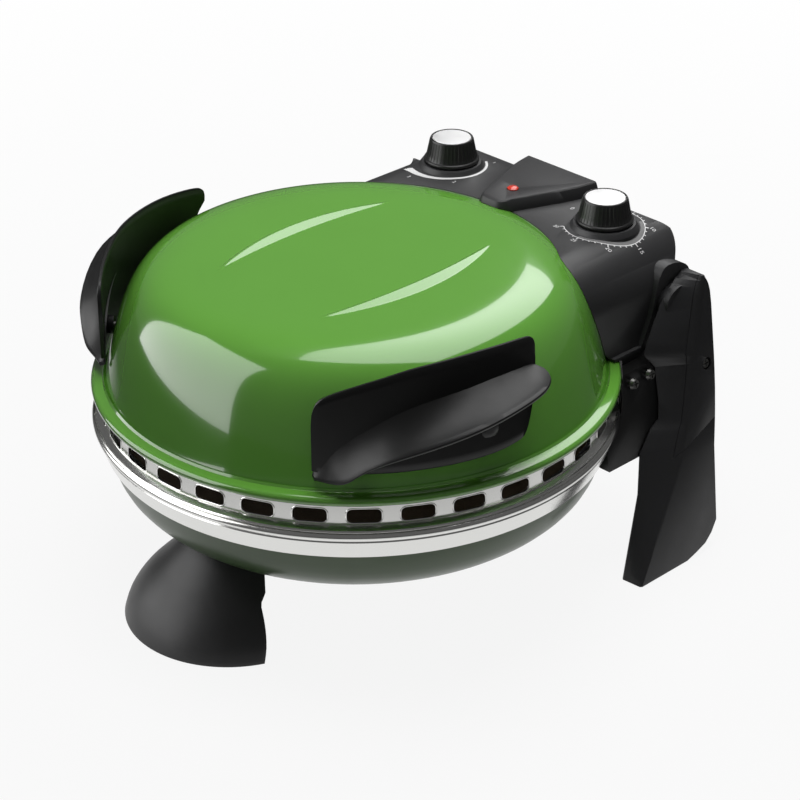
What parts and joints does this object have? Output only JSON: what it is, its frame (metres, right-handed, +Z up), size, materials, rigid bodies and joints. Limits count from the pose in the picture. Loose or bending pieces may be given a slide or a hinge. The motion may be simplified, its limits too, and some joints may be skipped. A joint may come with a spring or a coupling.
{
  "type": "electric pizza maker",
  "caption": "Countertop pizza maker: stone-floored pan on a front foot and splayed legs, hinged dome lid with fins, slotted steel band and a rear control housing with knobs.",
  "frame": {"origin": "on the table plane, at the middle of the footprint's bounding box", "axes": "+X to the user's right, -Y towards the user at the front, +Z up"},
  "size_m": [0.3616, 0.3731, 0.2268],
  "materials": {
    "dark_green_enamel": "gloss",
    "polished_steel": "satin",
    "bright_reflector": "satin",
    "element_steel": "matt",
    "baking_stone": "matt",
    "black_plastic": "satin",
    "zinc_screw": "satin",
    "rubber": "matt",
    "handle_plastic": "satin",
    "leg_plastic": "satin",
    "pin_steel": "satin",
    "green_enamel": "gloss",
    "wool": "matt",
    "bush_plastic": "satin",
    "switch_plastic": "satin",
    "copper": "satin",
    "timer_plastic": "satin",
    "lamp_body": "gloss",
    "red_lens": "gloss",
    "terminal_plastic": "satin",
    "knob_plastic": "satin",
    "silver_cap": "satin"
  },
  "bodies": {
    "base": {"base_pan": "dark_green_enamel", "base_ring": "polished_steel", "base_reflector": "bright_reflector", "lower_element": "element_steel", "lower_element_clips": "bright_reflector", "baking_stone": "baking_stone", "front_foot": "black_plastic", "front_foot_screws": "zinc_screw", "foot_pads": "rubber", "right_hinge_bracket": "handle_plastic", "left_hinge_bracket": "handle_plastic", "bracket_screws": "zinc_screw", "right_leg": "leg_plastic", "left_leg": "leg_plastic", "right_leg_cover": "leg_plastic", "left_leg_cover": "leg_plastic", "leg_screws": "zinc_screw", "hinge_pins": "pin_steel"},
    "lid": {"lid_dome": "green_enamel", "vent_band": "polished_steel", "lid_reflector": "bright_reflector", "lid_insulation": "wool", "upper_element": "element_steel", "upper_element_clips": "bright_reflector", "right_handle": "handle_plastic", "left_handle": "handle_plastic", "handle_screws": "zinc_screw", "control_housing": "black_plastic", "housing_screws": "zinc_screw", "rear_cover": "black_plastic", "rear_cover_screws": "zinc_screw", "hinge_bushes": "bush_plastic", "thermostat": "switch_plastic", "thermostat_probe": "copper", "timer": "timer_plastic", "pilot_lamp": "lamp_body", "pilot_lens": "red_lens", "terminal_block": "terminal_plastic", "cord_bush": "rubber"},
    "thermostat_dial": {"thermostat_knob": "knob_plastic", "thermostat_cap": "silver_cap", "thermostat_spindle": "pin_steel"},
    "timer_dial": {"timer_knob": "knob_plastic", "timer_cap": "silver_cap", "timer_spindle": "pin_steel"}
  },
  "joints": [
    {"name": "lid_hinge", "type": "hinge", "parent": "base", "child": "lid", "pos_m": [0, 0.16455, 0.163], "axis": [-1, 0, 0], "range_deg": [0, 95]},
    {"name": "thermostat_turn", "type": "hinge", "parent": "lid", "child": "thermostat_dial", "pos_m": [-0.07, 0.15055, 0.21], "axis": [0, 0, -1], "range_deg": [0, 280]},
    {"name": "timer_turn", "type": "hinge", "parent": "lid", "child": "timer_dial", "pos_m": [0.07, 0.15055, 0.21], "axis": [0, 0, -1], "range_deg": [0, 300]}
  ]
}
